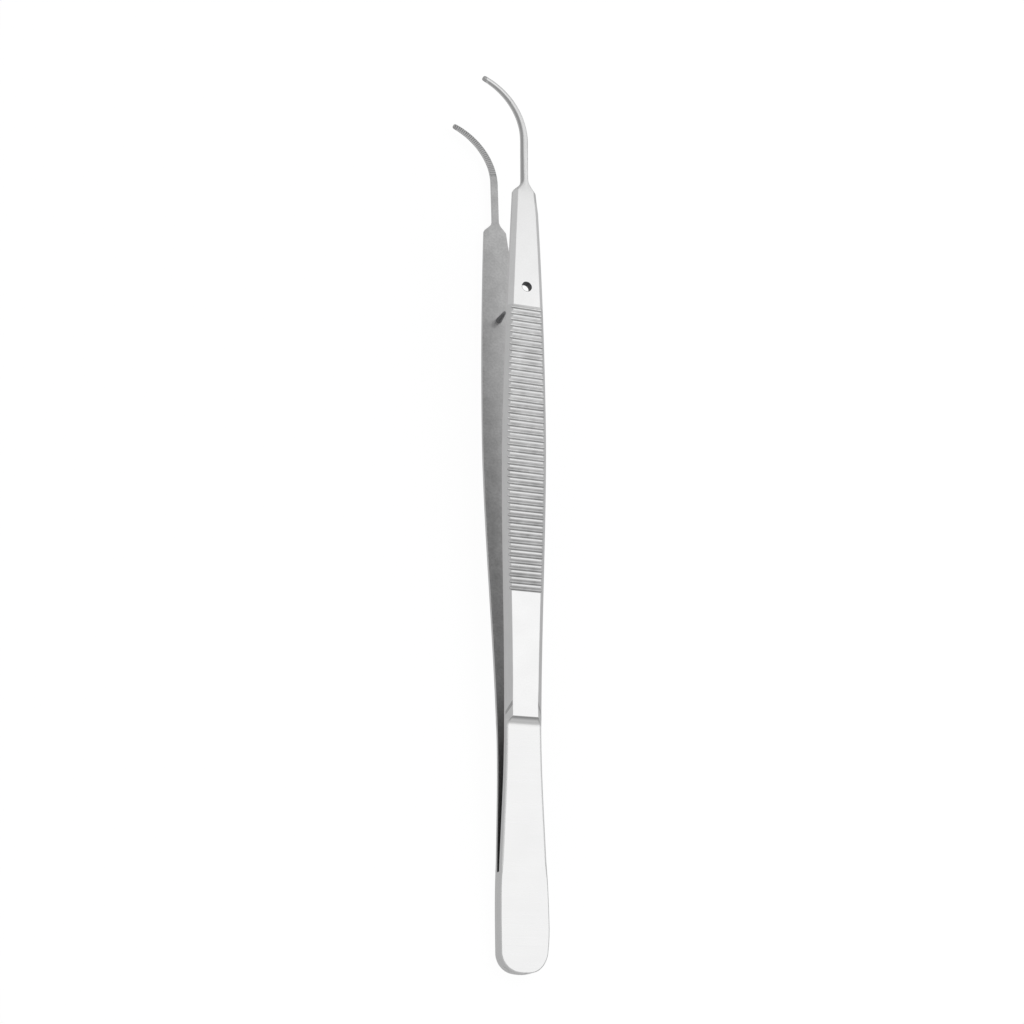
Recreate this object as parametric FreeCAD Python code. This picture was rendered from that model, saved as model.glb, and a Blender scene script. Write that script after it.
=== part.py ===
import FreeCAD, Part
import math
import os

# Thumb forceps: two sprung steel arms welded face to face at the heel, with cross grooved grips,
# fine curved toothed tips, and a guide pin on one arm that enters a guide hole in the other.
# Sizes are in millimetres. The forceps lie at rest on the outer side of the pinned arm.
#
# While an arm is made, y runs from the heel end to the tip, x runs across the arm, and z runs
# outwards from the middle plane between the arms. The tips curve towards -x.

# Length and spring
OVERALL_LENGTH = 178.0
WELD_LENGTH = 18.3          # from the heel end to the root of the slit between the arms
ROOT_GAP = 0.5              # half the slit's width at its root
LEAF_ANGLE = 2.66           # each leaf's angle to the middle plane, in degrees
SPRING_ANGLE = 3.7          # the same beyond the step
TIP_ANGLE = 2.3             # the same beyond the set bend
SET_LENGTH = 32.8           # the set bend begins this far before the shoulders
SET_RADIUS = 1000.0

# Heel leaf: the thin flat part that flexes
LEAF_THICKNESS = 1.1
LEAF_BEND_RADIUS = 200.0    # outer face, where the arm leaves the weld
HEEL_WIDTH = 9.5
HEEL_WIDEST = 8.0           # from the heel end
HEEL_END_RADIUS = 9.0
HEEL_CORNER_RADIUS = 3.6
WAIST_WIDTH = 7.1

# Blade: the thicker bevelled part, from the step to the shoulders
STEP = 45.8                 # top edge of the step, from the heel end
STEP_RADIUS = 2.0
BLADE_THICKNESS = 1.95
BLADE_WIDTH = 8.86          # at the middle of the grip
BEVEL_WIDTH = 1.04
SIDE_HEIGHT = 0.78          # square side wall below the bevel
RUNOUT_LENGTH = 4.0         # over this the bevels die out into the leaf's sides
EDGE_BREAK = 0.15
SHOULDER_WIDTH = 5.2
SHOULDER_THICKNESS = 1.55
SHOULDER_BEVEL = 0.82
SHOULDER_RADIUS = 0.7       # rounding of each shoulder's corner
NECK_FILLET = 2.2           # hollow rounding between the shoulder and the neck
BLADE_STEPS = 14
SHOULDER_STEPS = 5

# Neck and tip
NECK_LENGTH = 12.1          # from the shoulders to the start of the tip's bend
NECK_WIDTH = 1.48
NECK_THICKNESS = 1.2
NECK_BEVEL = 0.33
NECK_SIDE = 0.6
TIP_WIDTH = 1.0
TIP_THICKNESS = 0.85
TIP_BEVEL = 0.28
TIP_SIDE = 0.35
TIP_BEND_RADIUS = 14.0
TIP_BEND_ANGLE = 67.0       # in degrees
TIP_STEPS = 14

# Grip grooves across the outer faces
GROOVE_COUNT = 45
GROOVE_PITCH = 1.3
GRIP_MARGIN = 4.7           # from the last groove's middle to the middle of the guide
GROOVE_MOUTH = 0.95
GROOVE_FLOOR = 0.25
GROOVE_DEPTH = 0.38

# Teeth across the inner faces of the tips
TOOTHED_LENGTH = 14.6
TOOTH_PITCH = 0.45
TOOTH_DEPTH = 0.12

# Guide pin and hole
GUIDE_SETBACK = 20.9        # from the shoulders to the middle of the guide
PIN_DIAMETER = 1.3
PIN_END_DIAMETER = 0.7
PIN_LENGTH = 3.7            # beyond the inner face
PIN_SEAT = 0.8              # depth in its bore at which the tapered peg joins the shank
PIN_CLEARANCE = 0.3         # round the pin in the guide hole
HOLE_EDGE_BREAK = 0.12

REACH = 20.0                # how far cutting tools stand clear of an arm

leaf_slope = math.tan(math.radians(LEAF_ANGLE))
spring_slope = math.tan(math.radians(SPRING_ANGLE))
tip_slope = math.tan(math.radians(TIP_ANGLE))
tip_turn = math.radians(TIP_BEND_ANGLE)
tip_end_round = TIP_WIDTH / 2
heel_thickness = ROOT_GAP + LEAF_THICKNESS
bend_start = OVERALL_LENGTH - tip_end_round * math.cos(tip_turn) - TIP_BEND_RADIUS * math.sin(tip_turn)
shoulder = bend_start - NECK_LENGTH
guide = shoulder - GUIDE_SETBACK
grip_end = guide - GRIP_MARGIN
grip_start = grip_end - GROOVE_PITCH * (GROOVE_COUNT - 1)
blade_widest = (grip_start + grip_end) / 2
set_start = shoulder - SET_LENGTH
set_turn = math.radians(SPRING_ANGLE - TIP_ANGLE)
set_end = set_start + SET_RADIUS * set_turn
ramp_turn = math.acos(1 - (BLADE_THICKNESS - LEAF_THICKNESS) / STEP_RADIUS)
ramp_start = STEP - STEP_RADIUS * math.sin(ramp_turn)
guide_hole_radius = PIN_DIAMETER / 2 + PIN_CLEARANCE


def vector(x, y, z):
    return FreeCAD.Vector(x, y, z)


def blend(start, end, share):
    """A value between start and end."""
    return start + (end - start) * share


def ease(share):
    """0 to 1 with a level start and end."""
    return (1 - math.cos(math.pi * share)) / 2


def gap(y):
    """Height of an arm's inner face above the middle plane."""
    if y <= WELD_LENGTH:
        return 0.0
    leaf = ROOT_GAP + leaf_slope * (min(y, STEP) - WELD_LENGTH)
    straight = spring_slope * max(min(y, set_start) - STEP, 0.0)
    if y <= set_start:
        return leaf + straight
    turned = (min(y, set_end) - set_start) / SET_RADIUS
    bent = turned * (spring_slope * SET_RADIUS - turned * SET_RADIUS / 2)
    return leaf + straight + bent + tip_slope * max(y - set_end, 0.0)


def half_width(y):
    """Half the arm's width from the heel's widest place to the shoulder."""
    if y <= ramp_start:
        share = (y - HEEL_WIDEST) / (ramp_start - HEEL_WIDEST)
        return blend(HEEL_WIDTH, WAIST_WIDTH, ease(share)) / 2
    if y <= blade_widest:
        share = (y - ramp_start) / (blade_widest - ramp_start)
        return blend(WAIST_WIDTH, BLADE_WIDTH, ease(share)) / 2
    share = (y - blade_widest) / (shoulder - blade_widest)
    return blend(BLADE_WIDTH, SHOULDER_WIDTH, share ** 1.5) / 2


def blade_thickness(y):
    share = max(y - grip_start, 0.0) / (shoulder - grip_start)
    return blend(BLADE_THICKNESS, SHOULDER_THICKNESS, share)


def section(x, y, turn, half, bevel, side, thickness):
    """Six-cornered cross section of an arm, square to a centre line turned towards -x."""
    across = vector(math.cos(turn), math.sin(turn), 0)
    middle = vector(x, y, gap(y))
    corners = [(-half, 0), (-half, side), (bevel - half, thickness),
               (half - bevel, thickness), (half, side), (half, 0)]
    points = [middle + across * u + vector(0, 0, v) for u, v in corners]
    return Part.makePolygon(points + points[:1])


def ramp_sections():
    """The hollow ramp from the leaf up to the blade, while the side wall stays as high as the leaf."""
    wires = []
    steps = 4
    for step in range(steps + 1):
        turn = ramp_turn * step / steps
        y = ramp_start + STEP_RADIUS * math.sin(turn)
        rise = STEP_RADIUS * (1 - math.cos(turn))
        bevel = blend(EDGE_BREAK, BEVEL_WIDTH, step / steps)
        wires.append(section(0, y, 0, half_width(y), bevel, LEAF_THICKNESS - EDGE_BREAK,
                             LEAF_THICKNESS + rise))
    return wires


def runout_sections():
    end = STEP + RUNOUT_LENGTH
    top = LEAF_THICKNESS - EDGE_BREAK
    return [section(0, STEP, 0, half_width(STEP), BEVEL_WIDTH, top, BLADE_THICKNESS),
            section(0, end, 0, half_width(end), BEVEL_WIDTH, SIDE_HEIGHT, BLADE_THICKNESS)]


def blade_sections():
    wires = []
    start = STEP + RUNOUT_LENGTH
    for step in range(BLADE_STEPS + 1):
        y = blend(start, shoulder, step / BLADE_STEPS)
        bevel = blend(BEVEL_WIDTH, SHOULDER_BEVEL, step / BLADE_STEPS)
        wires.append(section(0, y, 0, half_width(y), bevel, SIDE_HEIGHT, blade_thickness(y)))
    return wires


def shoulder_profile():
    """Points (y, half width) of a shoulder: rounded corner, straight slope at 45 degrees, hollow."""
    eighth = math.radians(45)
    points = []
    for step in range(SHOULDER_STEPS + 1):
        turn = eighth * step / SHOULDER_STEPS
        points.append((shoulder + SHOULDER_RADIUS * math.sin(turn),
                       SHOULDER_WIDTH / 2 - SHOULDER_RADIUS * (1 - math.cos(turn))))
    hollow_top = NECK_WIDTH / 2 + NECK_FILLET * (1 - math.cos(eighth))
    y, half = points[-1]
    hollow_start = y + half - hollow_top
    for step in range(SHOULDER_STEPS + 1):
        turn = eighth * (1 - step / SHOULDER_STEPS)
        points.append((hollow_start + NECK_FILLET * (math.sin(eighth) - math.sin(turn)),
                       NECK_WIDTH / 2 + NECK_FILLET * (1 - math.cos(turn))))
    return points


def shoulder_sections():
    """Sections from the blade to the neck. Every size goes over with the width."""
    wires = []
    for y, half in shoulder_profile():
        share = (SHOULDER_WIDTH / 2 - half) / (SHOULDER_WIDTH / 2 - NECK_WIDTH / 2)
        wires.append(section(0, y, 0, half, blend(SHOULDER_BEVEL, NECK_BEVEL, share),
                             blend(SIDE_HEIGHT, NECK_SIDE, share),
                             blend(SHOULDER_THICKNESS, NECK_THICKNESS, share)))
    return wires


def tip_place(turn):
    """Centre of the tip where its line has turned by this angle."""
    return -TIP_BEND_RADIUS * (1 - math.cos(turn)), bend_start + TIP_BEND_RADIUS * math.sin(turn)


def tip_section(share, ahead, narrowing):
    """Section at a share of the bend, or ahead of its end with a width narrowed for the round end."""
    turn = tip_turn * share
    x, y = tip_place(turn)
    half = blend(NECK_WIDTH, TIP_WIDTH, share) / 2 * narrowing
    bevel = blend(NECK_BEVEL, TIP_BEVEL, share) * narrowing
    return section(x - ahead * math.sin(turn), y + ahead * math.cos(turn), turn, half, bevel,
                   blend(NECK_SIDE, TIP_SIDE, share), blend(NECK_THICKNESS, TIP_THICKNESS, share))


def tip_sections():
    wires = [tip_section(step / TIP_STEPS, 0, 1) for step in range(TIP_STEPS + 1)]
    for share in (0.4, 0.7, 0.9):
        wires.append(tip_section(1, tip_end_round * share, math.sqrt(1 - share ** 2)))
    return wires


def leaf_outline():
    """Outline of the leaf seen from above, from the round heel end to the start of the ramp."""
    half = HEEL_WIDTH / 2
    inner = HEEL_END_RADIUS - HEEL_CORNER_RADIUS
    lean = math.asin((half - HEEL_CORNER_RADIUS) / inner)
    corner_y = HEEL_END_RADIUS - inner * math.cos(lean)
    touch = vector(HEEL_END_RADIUS * math.sin(lean), HEEL_END_RADIUS * (1 - math.cos(lean)), 0)
    bulge = (math.pi / 2 + lean) / 2
    corner = vector(half - HEEL_CORNER_RADIUS + HEEL_CORNER_RADIUS * math.sin(bulge),
                    corner_y - HEEL_CORNER_RADIUS * math.cos(bulge), 0)
    side_points = [vector(half, corner_y, 0)]
    steps = 8
    for step in range(steps + 1):
        y = blend(HEEL_WIDEST, ramp_start, step / steps)
        side_points.append(vector(half_width(y), y, 0))
    side = Part.BSplineCurve()
    side.interpolate(side_points)

    def flip(point):
        return vector(-point.x, point.y, 0)

    other_side = Part.BSplineCurve()
    other_side.interpolate([flip(point) for point in reversed(side_points)])
    edges = [Part.Arc(flip(touch), vector(0, 0, 0), touch).toShape(),
             Part.Arc(touch, corner, side_points[0]).toShape(),
             side.toShape(),
             Part.makeLine(side_points[-1], flip(side_points[-1])),
             other_side.toShape(),
             Part.Arc(flip(side_points[0]), flip(corner), flip(touch)).toShape()]
    return Part.Face(Part.Wire(edges))


def leaf_profile():
    """Side view of the leaf: flat over the weld, then relieved inside and sprung outwards."""
    half_turn = math.radians(LEAF_ANGLE) / 2
    reach = LEAF_BEND_RADIUS * math.tan(half_turn)
    before = vector(0, WELD_LENGTH - reach, heel_thickness)
    after = vector(0, WELD_LENGTH + reach * math.cos(2 * half_turn),
                   heel_thickness + reach * math.sin(2 * half_turn))
    middle = vector(0, before.y + LEAF_BEND_RADIUS * math.sin(half_turn),
                    heel_thickness + LEAF_BEND_RADIUS * (1 - math.cos(half_turn)))
    root = vector(0, WELD_LENGTH, ROOT_GAP)
    end = ramp_start
    top = vector(0, end, gap(end) + LEAF_THICKNESS)
    edges = [Part.makeLine(vector(0, 0, 0), vector(0, WELD_LENGTH, 0)),
             Part.makeLine(vector(0, WELD_LENGTH, 0), root),
             Part.makeLine(root, vector(0, end, gap(end))),
             Part.makeLine(vector(0, end, gap(end)), top),
             Part.makeLine(top, after),
             Part.Arc(after, middle, before).toShape(),
             Part.makeLine(before, vector(0, 0, heel_thickness)),
             Part.makeLine(vector(0, 0, heel_thickness), vector(0, 0, 0))]
    return Part.Face(Part.Wire(edges))


def make_leaf():
    slab = leaf_profile().extrude(vector(2 * REACH, 0, 0))
    slab.translate(vector(-REACH, 0, 0))
    return slab.common(leaf_outline().extrude(vector(0, 0, REACH)))


def groove_cutter(y):
    """A trapezium across the outer face, square to its slope."""
    outer = gap(y) + blade_thickness(y)
    ahead = gap(y + 1) + blade_thickness(y + 1)
    mouth = GROOVE_MOUTH / 2
    floor = GROOVE_FLOOR / 2
    widen = (mouth - floor) / GROOVE_DEPTH
    above = GROOVE_DEPTH
    corners = [(-floor, -GROOVE_DEPTH), (floor, -GROOVE_DEPTH),
               (mouth + widen * above, above), (-mouth - widen * above, above)]
    points = [vector(-REACH, u, v) for u, v in corners]
    cutter = Part.Face(Part.makePolygon(points + points[:1])).extrude(vector(2 * REACH, 0, 0))
    cutter.rotate(vector(0, 0, 0), vector(1, 0, 0), math.degrees(math.atan(ahead - outer)))
    cutter.translate(vector(0, y, outer))
    return cutter


def tooth_cutter(distance):
    """A vee across the inner face of the tip, this far back from the end of its bend."""
    turn = tip_turn - distance / TIP_BEND_RADIUS
    x, y = tip_place(turn)
    half = TOOTH_PITCH / 2
    reach = NECK_WIDTH
    points = [vector(-reach, -half, 0), vector(-reach, 0, TOOTH_DEPTH), vector(-reach, half, 0)]
    below = [vector(-reach, half, -TOOTH_DEPTH), vector(-reach, -half, -TOOTH_DEPTH)]
    face = Part.Face(Part.makePolygon(points + below + points[:1]))
    cutter = face.extrude(vector(2 * reach, 0, 0))
    cutter.rotate(vector(0, 0, 0), vector(0, 0, 1), math.degrees(turn))
    cutter.translate(vector(x, y, gap(y)))
    return cutter


def guide_axis():
    """Foot on the inner face and direction of the guide hole and pin, square to the inner face."""
    slope = gap(guide + 0.5) - gap(guide - 0.5)
    direction = vector(0, -slope, 1)
    direction.normalize()
    return vector(0, guide, gap(guide)), direction


def make_arm():
    """One forging, above the middle plane, with its grooves and teeth but no guide hole."""
    arm = make_leaf()
    for wires in (ramp_sections(), runout_sections(), shoulder_sections(), tip_sections()):
        arm = arm.fuse(Part.makeLoft(wires, True, True))
    arm = arm.fuse(Part.makeLoft(blade_sections(), True, False))
    neck_end = shoulder_profile()[-1][0]
    neck = [section(0, y, 0, NECK_WIDTH / 2, NECK_BEVEL, NECK_SIDE, NECK_THICKNESS)
            for y in (neck_end, bend_start)]
    arm = arm.fuse(Part.makeLoft(neck, True, True))
    grooves = [groove_cutter(grip_start + GROOVE_PITCH * index) for index in range(GROOVE_COUNT)]
    tooth_count = int(TOOTHED_LENGTH / TOOTH_PITCH)
    teeth = [tooth_cutter(TOOTH_PITCH * index) for index in range(tooth_count)]
    return arm.removeSplitter().cut(Part.makeCompound(grooves)).cut(Part.makeCompound(teeth))


def round_bar(radius, foot, direction, below, above):
    """A cylinder round an axis, from below the foot to above it."""
    return Part.makeCylinder(radius, below + above, foot - direction * below, direction)


def make_drilled_arm(arm):
    foot, direction = guide_axis()
    outer = foot + direction * blade_thickness(guide)
    countersink = Part.makeCone(guide_hole_radius, guide_hole_radius + 2 * HOLE_EDGE_BREAK,
                                2 * HOLE_EDGE_BREAK, outer - direction * HOLE_EDGE_BREAK, direction)
    bore = round_bar(guide_hole_radius, foot, direction, REACH / 2, REACH / 2)
    return arm.cut(bore).cut(countersink)


def make_pinned_arm(arm):
    """The same forging turned over, with a bore that the guide pin fills."""
    foot, direction = guide_axis()
    bored = arm.cut(round_bar(PIN_DIAMETER / 2, foot, direction, REACH / 2, REACH / 2))
    return bored.mirror(vector(0, 0, 0), vector(0, 0, 1))


def make_guide_pin(arm):
    """Shank flush with the pinned arm's outer face, tapered to a round end inside."""
    foot, direction = guide_axis()
    radius = PIN_DIAMETER / 2
    shank = round_bar(radius, foot, direction, 0, REACH / 2).common(arm)
    end_radius = PIN_END_DIAMETER / 2
    taper = PIN_LENGTH - end_radius
    profile = Part.Wire([
        Part.makeLine(vector(0, 0, -PIN_SEAT), vector(radius, 0, -PIN_SEAT)),
        Part.makeLine(vector(radius, 0, -PIN_SEAT), vector(radius, 0, 0)),
        Part.makeLine(vector(radius, 0, 0), vector(end_radius, 0, taper)),
        Part.Arc(vector(end_radius, 0, taper),
                 vector(end_radius * math.sin(math.radians(45)), 0,
                        taper + end_radius * math.sin(math.radians(45))),
                 vector(0, 0, PIN_LENGTH)).toShape(),
        Part.makeLine(vector(0, 0, PIN_LENGTH), vector(0, 0, -PIN_SEAT))])
    peg = Part.Face(profile).revolve(vector(0, 0, 0), vector(0, 0, 1), 360)
    peg.Placement = FreeCAD.Placement(foot, FreeCAD.Rotation(vector(0, 0, 1), direction * -1))
    return shank.fuse(peg).removeSplitter().mirror(vector(0, 0, 0), vector(0, 0, 1))


def rest_tilt():
    """Angle that lays the heel end and the outermost place of the pinned arm on one plane."""
    span = range(int(STEP) + 1, int(shoulder))
    return max(math.atan2(gap(y) + blade_thickness(y) - heel_thickness, y) for y in span)


def lay_at_rest(pieces):
    """Tilt the forceps onto the surface and centre their box over the origin."""
    for shape in pieces.values():
        shape.rotate(vector(0, 0, 0), vector(1, 0, 0), math.degrees(rest_tilt()))
    box = Part.makeCompound(list(pieces.values())).optimalBoundingBox(False, False)
    for shape in pieces.values():
        shape.translate(vector(-box.Center.x, -box.Center.y, -box.ZMin))


def main():
    os.makedirs("parts", exist_ok=True)
    arm = make_arm()
    pieces = {"drilled_arm": make_drilled_arm(arm),
              "pinned_arm": make_pinned_arm(arm),
              "guide_pin": make_guide_pin(arm)}
    lay_at_rest(pieces)
    for name, shape in pieces.items():
        shape.exportStep(f"parts/{name}.step")
        print(name, shape.ShapeType, len(shape.Solids), "solids", shape.isValid(),
              "volume", round(shape.Volume, 2))


main()
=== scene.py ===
"""Thumb forceps of satin steel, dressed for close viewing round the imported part.

Each arm is modelled in millimetres as it lies along a bench: y runs from the heel end to the tip, x across
the arm, and z outwards from the middle plane between the arms. A finished piece is then laid in the part's
frame, in metres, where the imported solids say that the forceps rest.
"""

import logging
import math
from collections.abc import Callable, Sequence
from dataclasses import dataclass, field, replace
from enum import Enum
from typing import Any

import bmesh
import bpy
from mathutils import Matrix, Vector

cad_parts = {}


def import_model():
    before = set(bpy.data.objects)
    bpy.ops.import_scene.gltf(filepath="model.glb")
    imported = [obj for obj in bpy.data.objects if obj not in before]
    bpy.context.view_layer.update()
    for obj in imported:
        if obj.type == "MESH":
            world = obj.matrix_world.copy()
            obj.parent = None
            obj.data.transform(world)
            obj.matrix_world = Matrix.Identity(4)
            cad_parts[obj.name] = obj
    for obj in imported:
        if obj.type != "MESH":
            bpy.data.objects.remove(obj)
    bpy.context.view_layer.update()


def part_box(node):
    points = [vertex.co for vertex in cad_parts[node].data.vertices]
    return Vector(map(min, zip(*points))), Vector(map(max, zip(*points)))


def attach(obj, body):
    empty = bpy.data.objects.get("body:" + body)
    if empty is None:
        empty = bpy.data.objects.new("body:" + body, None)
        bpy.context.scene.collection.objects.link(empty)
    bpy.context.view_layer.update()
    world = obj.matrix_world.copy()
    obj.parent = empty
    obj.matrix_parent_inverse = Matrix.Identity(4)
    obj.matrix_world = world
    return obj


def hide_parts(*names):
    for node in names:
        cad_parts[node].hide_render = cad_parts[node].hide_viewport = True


LOG = logging.getLogger("forceps")
METRES = 0.001
BODY = "root"
SMOOTH_ANGLE = math.radians(35)
# Widths in millimetres of the soft strip along the edge of a flat outer face, and of the broken edge
# round the inner face
SOFT_EDGE = 0.04
INNER_BREAK = 0.05
# The corners of a round outer face, across from its middle and up from its side, as shares
ROUND_FACE = ((1.0, 0.0), (0.93, 0.48), (0.72, 0.78), (0.40, 0.95), (0.0, 1.0))


class Grain(Enum):
    """How a steel surface was worked, as its grain's length along x, y and z against its pitch."""

    ACROSS = (60.0, 1.0, 8.0)
    ALONG = (1.0, 18.0, 4.0)
    BLASTED = (1.0, 1.0, 1.0)


def blend(start: float, end: float, share: float) -> float:
    """A value between start and end."""
    return start + (end - start) * share


def ease(share: float) -> float:
    """0 to 1 with a level start and end."""
    return (1 - math.cos(math.pi * share)) / 2


def steps(start: float, end: float, count: int) -> list[float]:
    """Evenly spaced values from start to end, without the first one."""
    return [blend(start, end, index / count) for index in range(1, count + 1)]


def outward(azimuth: float, elevation: float) -> Vector:
    """Direction from the forceps to a lamp or camera.

    Args:
        azimuth: Degrees round from the heel's side, towards +x.
        elevation: Degrees above the table.

    Returns:
        The unit direction.
    """
    turn, rise = math.radians(azimuth), math.radians(elevation)
    return Vector((math.sin(turn) * math.cos(rise), -math.cos(turn) * math.cos(rise), math.sin(rise)))


def linear(colour: str) -> tuple[float, float, float, float]:
    """Turns an sRGB hex colour to linear light.

    Args:
        colour: The colour as six hex digits after a hash.

    Returns:
        Red, green, blue and a full alpha.
    """
    values = [int(colour[place:place + 2], 16) / 255 for place in (1, 3, 5)]
    lit = [value / 12.92 if value <= 0.04045 else ((value + 0.055) / 1.055) ** 2.4 for value in values]
    return lit[0], lit[1], lit[2], 1.0


def add_node(tree: bpy.types.NodeTree, kind: str, settings: dict[str | int, Any] | None = None,
             links: dict[str | int, bpy.types.NodeSocket] | None = None) -> bpy.types.Node:
    """Adds a node with its settings and its inputs' links.

    Args:
        tree: The node tree.
        kind: The node's type name.
        settings: Properties of the node, or values of its input sockets, by name.
        links: Output sockets that feed its input sockets, by the input's name or number.

    Returns:
        The new node.
    """
    node = tree.nodes.new(kind)
    for name, value in (settings or {}).items():
        if isinstance(name, str) and hasattr(node, name):
            setattr(node, name, value)
        else:
            node.inputs[name].default_value = value
    for name, socket in (links or {}).items():
        tree.links.new(socket, node.inputs[name])
    return node


@dataclass(frozen=True)
class SteelFinish:
    """One worked surface of stainless steel.

    Its grain is a stretched noise on Object coordinates, which moves the roughness, the shade and the
    relief together, with a coarser and fainter blotch over it. The shade can fall along the forceps, from
    its own at dark_from_mm to dark_share of it at dark_to_mm; this fall is painted shade.
    """

    name: str
    colour: str
    roughness: float
    grain: Grain
    grain_mm: float
    roughness_swing: float
    shade_swing: float
    relief_mm: float
    blotch_mm: float
    blotch_swing: float
    dark_from_mm: float | None = None
    dark_to_mm: float = 0.0
    dark_share: float = 1.0

    def material(self) -> bpy.types.Material:
        """Builds the finish as a node material.

        Returns:
            The material, named for the finish.
        """
        material = bpy.data.materials.new(self.name)
        material.use_nodes = True
        tree = material.node_tree
        tree.nodes.clear()
        place = add_node(tree, "ShaderNodeTexCoord").outputs["Object"]
        pitch = self.grain_mm * METRES
        stretch = tuple(1 / (pitch * length) for length in self.grain.value)
        lay = add_node(tree, "ShaderNodeMapping", {"Scale": stretch}, {"Vector": place})
        grain = add_node(tree, "ShaderNodeTexNoise", {"Scale": 1.0, "Detail": 3.0, "Roughness": 0.6},
                         {"Vector": lay.outputs[0]}).outputs["Fac"]
        blotch = add_node(tree, "ShaderNodeTexNoise",
                          {"Scale": 1 / (self.blotch_mm * METRES), "Detail": 2.0},
                          {"Vector": place}).outputs["Fac"]
        # A noise stays near a half, so 0.3 to 0.7 is spread over each swing
        rough, fine, broad = (
            add_node(tree, "ShaderNodeMapRange",
                     {"From Min": 0.3, "From Max": 0.7, "To Min": middle - reach, "To Max": middle + reach},
                     {"Value": noise}).outputs[0]
            for noise, middle, reach in ((grain, self.roughness, self.roughness_swing),
                                         (grain, 1.0, self.shade_swing),
                                         (blotch, 1.0, self.blotch_swing)))
        shade = add_node(tree, "ShaderNodeMath", {"operation": "MULTIPLY"}, {0: fine, 1: broad}).outputs[0]
        # Painted shade: the colour falls along y from dark_from_mm to dark_to_mm
        if self.dark_from_mm is not None:
            along = add_node(tree, "ShaderNodeSeparateXYZ", None, {0: place}).outputs["Y"]
            fall = add_node(tree, "ShaderNodeMapRange",
                            {"interpolation_type": "SMOOTHSTEP", "From Min": self.dark_to_mm * METRES,
                             "From Max": self.dark_from_mm * METRES, "To Min": self.dark_share,
                             "To Max": 1.0}, {"Value": along}).outputs[0]
            shade = add_node(tree, "ShaderNodeMath", {"operation": "MULTIPLY"},
                             {0: shade, 1: fall}).outputs[0]
        colour = add_node(tree, "ShaderNodeVectorMath",
                          {"operation": "SCALE", 0: linear(self.colour)[:3]}, {"Scale": shade}).outputs[0]
        bump = add_node(tree, "ShaderNodeBump",
                        {"Strength": 1.0, "Distance": self.relief_mm * METRES}, {"Height": grain})
        shader = add_node(tree, "ShaderNodeBsdfPrincipled", {"Metallic": 1.0},
                          {"Base Color": colour, "Roughness": rough, "Normal": bump.outputs[0]})
        add_node(tree, "ShaderNodeOutputMaterial", None, {"Surface": shader.outputs[0]})
        return material


# The real grain of such finishes is a few hundredths of a millimetre wide, too fine to show, so it is
# drawn coarser: grain_mm is the drawn pitch, and relief_mm is how deep it is felt.

# Stainless steel, ground flat and then satin finished across the arm: a bright face with faint streaks
HEEL_FACE = SteelFinish(
    "ground_stainless_steel_heel", "#EDEDED", roughness=0.30, grain=Grain.ACROSS, grain_mm=0.30,
    roughness_swing=0.04, shade_swing=0.02, relief_mm=0.0004, blotch_mm=9.0, blotch_swing=0.015)
# The hollow ramp at the step, ground with a small wheel, with painted shade that darkens it towards its top
# edge
RAMP_FACE = SteelFinish(
    "hollow_ground_stainless_steel_ramp", "#EDEDED", roughness=0.32, grain=Grain.ACROSS, grain_mm=0.20,
    roughness_swing=0.04, shade_swing=0.03, relief_mm=0.0006, blotch_mm=4.0, blotch_swing=0.02,
    dark_from_mm=-44.9, dark_to_mm=-43.75, dark_share=0.48)
# The same steel on the raised blade, glass bead blasted: an even, very fine bright grain
BLADE_FACE = SteelFinish(
    "blasted_stainless_steel_blade", "#F3F3F3", roughness=0.34, grain=Grain.BLASTED, grain_mm=0.30,
    roughness_swing=0.04, shade_swing=0.03, relief_mm=0.0010, blotch_mm=5.0, blotch_swing=0.02)
# Grip ridges, milled and then blasted: a little duller, with marks from the cutter along each groove
GRIP_FACE = SteelFinish(
    "milled_stainless_steel_grip", "#E4E4E4", roughness=0.33, grain=Grain.ACROSS, grain_mm=0.18,
    roughness_swing=0.08, shade_swing=0.05, relief_mm=0.0020, blotch_mm=4.0, blotch_swing=0.04)
# The grooves and the ends of the long bevels, as the milling cutter left them: streaked lengthwise, with
# painted shade that darkens them towards the heel
GROOVE_FACE = SteelFinish(
    "milled_stainless_steel_groove", "#E4E4E4", roughness=0.42, grain=Grain.ACROSS, grain_mm=0.14,
    roughness_swing=0.08, shade_swing=0.12, relief_mm=0.0030, blotch_mm=2.2, blotch_swing=0.16,
    dark_from_mm=36.0, dark_to_mm=-20.0, dark_share=0.70)
# Painted shade: the half of each groove towards the heel, its steep wall and that half of its floor,
# coloured darker
GROOVE_SHADE_FACE = SteelFinish(
    "milled_stainless_steel_painted_groove_shade", "#AEAEAE", roughness=0.42, grain=Grain.BLASTED, grain_mm=0.20,
    roughness_swing=0.06, shade_swing=0.10, relief_mm=0.0020, blotch_mm=2.2, blotch_swing=0.16)
# The bevels of the necks and tips, the tips' ends and the sides of their teeth: a darker satin grey that
# is painted shade
TIP_SHADE_FACE = SteelFinish(
    "stainless_steel_tip_painted_shade", "#C0C0C0", roughness=0.38, grain=Grain.BLASTED, grain_mm=0.20,
    roughness_swing=0.06, shade_swing=0.08, relief_mm=0.0015, blotch_mm=2.2, blotch_swing=0.08)
# Edges and bevels, belt ground along the arm: a plain mid grey satin
EDGE_FACE = SteelFinish(
    "belt_ground_stainless_steel_edge", "#E6E6E6", roughness=0.36, grain=Grain.ALONG, grain_mm=0.12,
    roughness_swing=0.04, shade_swing=0.03, relief_mm=0.0010, blotch_mm=7.0, blotch_swing=0.02)
# Inner faces, blasted and left matt: a soft grey with small dull stains, and painted shade that darkens
# them towards the root of the slit
INNER_FACE = SteelFinish(
    "matt_blasted_stainless_steel_inner", "#CACACA", roughness=0.42, grain=Grain.BLASTED, grain_mm=0.45,
    roughness_swing=0.05, shade_swing=0.11, relief_mm=0.0015, blotch_mm=2.6, blotch_swing=0.07,
    dark_from_mm=-30.0, dark_to_mm=-58.0, dark_share=0.42)
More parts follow.
